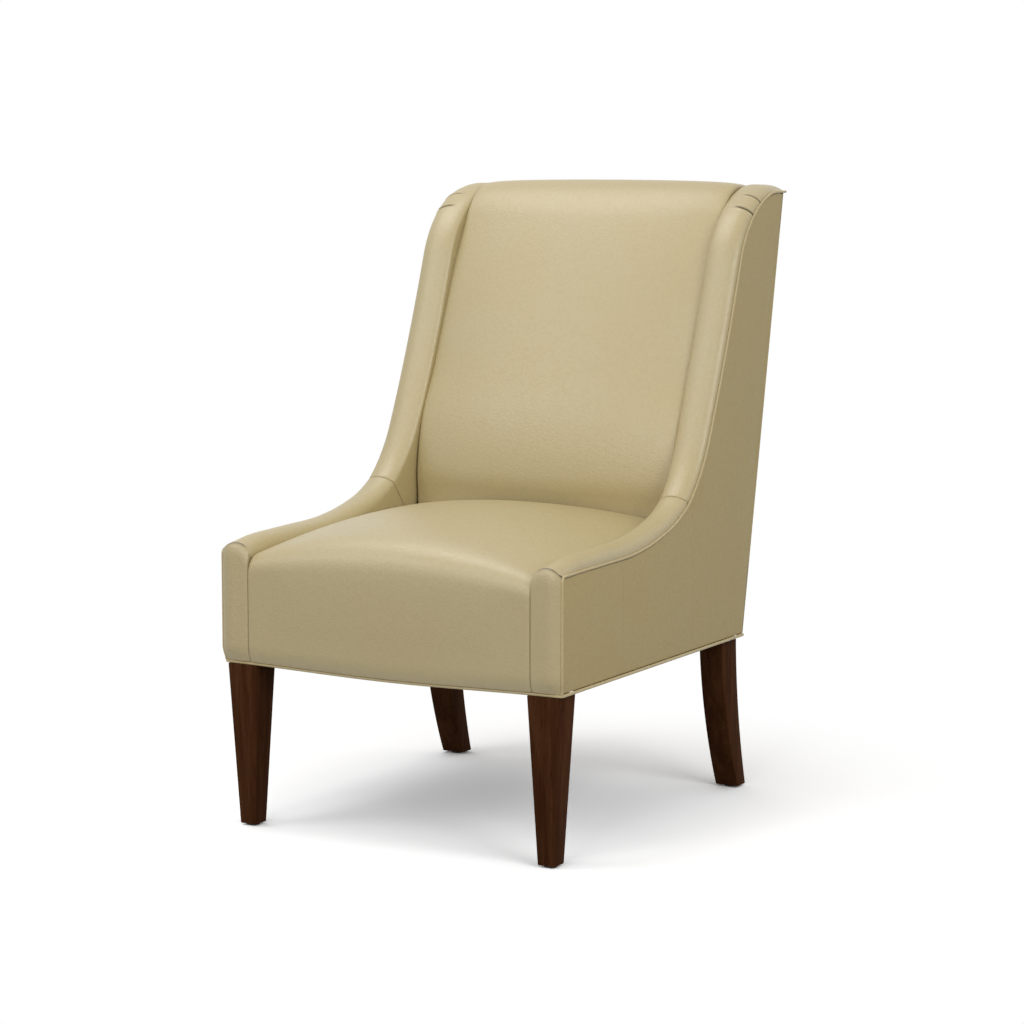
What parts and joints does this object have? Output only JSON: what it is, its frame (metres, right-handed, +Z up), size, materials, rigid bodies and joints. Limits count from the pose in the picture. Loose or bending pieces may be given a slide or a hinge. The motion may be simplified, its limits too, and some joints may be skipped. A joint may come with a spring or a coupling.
{
  "type": "upholstered dining chair",
  "caption": "Leather dining chair with low padded arms that sweep up into wings beside a crowned back, on tapered dark wood legs.",
  "frame": {"origin": "on the floor, under the middle of the chair's box", "axes": "+Z up, front towards -Y, +X to the right as seen from the front"},
  "size_m": [0.5852, 0.7602, 0.9797],
  "materials": {
    "leather": "pale olive-beige leather, fine pebble grain, soft satin",
    "welt_leather": "the same leather, cut on the bias over a cord, satin",
    "walnut": "dark walnut stain, vertical grain, satin lacquer",
    "frame_wood": "planed hardwood, unfinished",
    "back_board": "thin stiff fibre board, unfinished",
    "foam": "cut polyurethane foam, matt",
    "jute": "woven jute, coarse and matt",
    "dust_cloth": "black non-woven cloth, matt",
    "spring_steel": "oiled spring wire",
    "zinc": "bright zinc plate",
    "glide": "black nylon, matt"
  },
  "bodies": {
    "root": {"arm_band_left": "leather", "arm_band_right": "leather", "arm_pad_left": "foam", "arm_pad_right": "foam", "arm_rail_left": "frame_wood", "arm_rail_right": "frame_wood", "back_cover": "leather", "back_foam": "foam", "back_lower_rail": "frame_wood", "back_post_left": "frame_wood", "back_post_right": "frame_wood", "back_top_beam": "frame_wood", "back_webbing": "jute", "bottom_welt": "welt_leather", "corner_block_front_left": "frame_wood", "corner_block_front_right": "frame_wood", "corner_block_rear_left": "frame_wood", "corner_block_rear_right": "frame_wood", "dust_cover": "dust_cloth", "edge_welt_left": "welt_leather", "edge_welt_right": "welt_leather", "front_leg_left": "walnut", "front_leg_right": "walnut", "front_pad_left": "foam", "front_pad_right": "foam", "front_panel_left": "leather", "front_panel_right": "leather", "front_rail_padding": "foam", "front_seat_rail": "frame_wood", "front_stump_left": "frame_wood", "front_stump_right": "frame_wood", "inside_arm_left": "leather", "inside_arm_right": "leather", "leg_bolts": "zinc", "leg_glides": "glide", "leg_inserts": "zinc", "outer_side_front_left": "leather", "outer_side_front_right": "leather", "outer_side_middle_left": "leather", "outer_side_middle_right": "leather", "outer_side_rear_left": "leather", "outer_side_rear_right": "leather", "outside_back": "leather", "outside_back_board": "back_board", "rear_leg_left": "walnut", "rear_leg_right": "walnut", "rear_seat_rail": "frame_wood", "seat_burlap": "jute", "seat_cover": "leather", "seat_foam": "foam", "seat_side_rail_left": "frame_wood", "seat_side_rail_right": "frame_wood", "seat_springs": "spring_steel", "side_board_left": "frame_wood", "side_board_right": "frame_wood", "spring_clips": "spring_steel", "wing_band_left": "leather", "wing_band_right": "leather", "wing_pad_left": "foam", "wing_pad_right": "foam"}
  },
  "joints": []
}
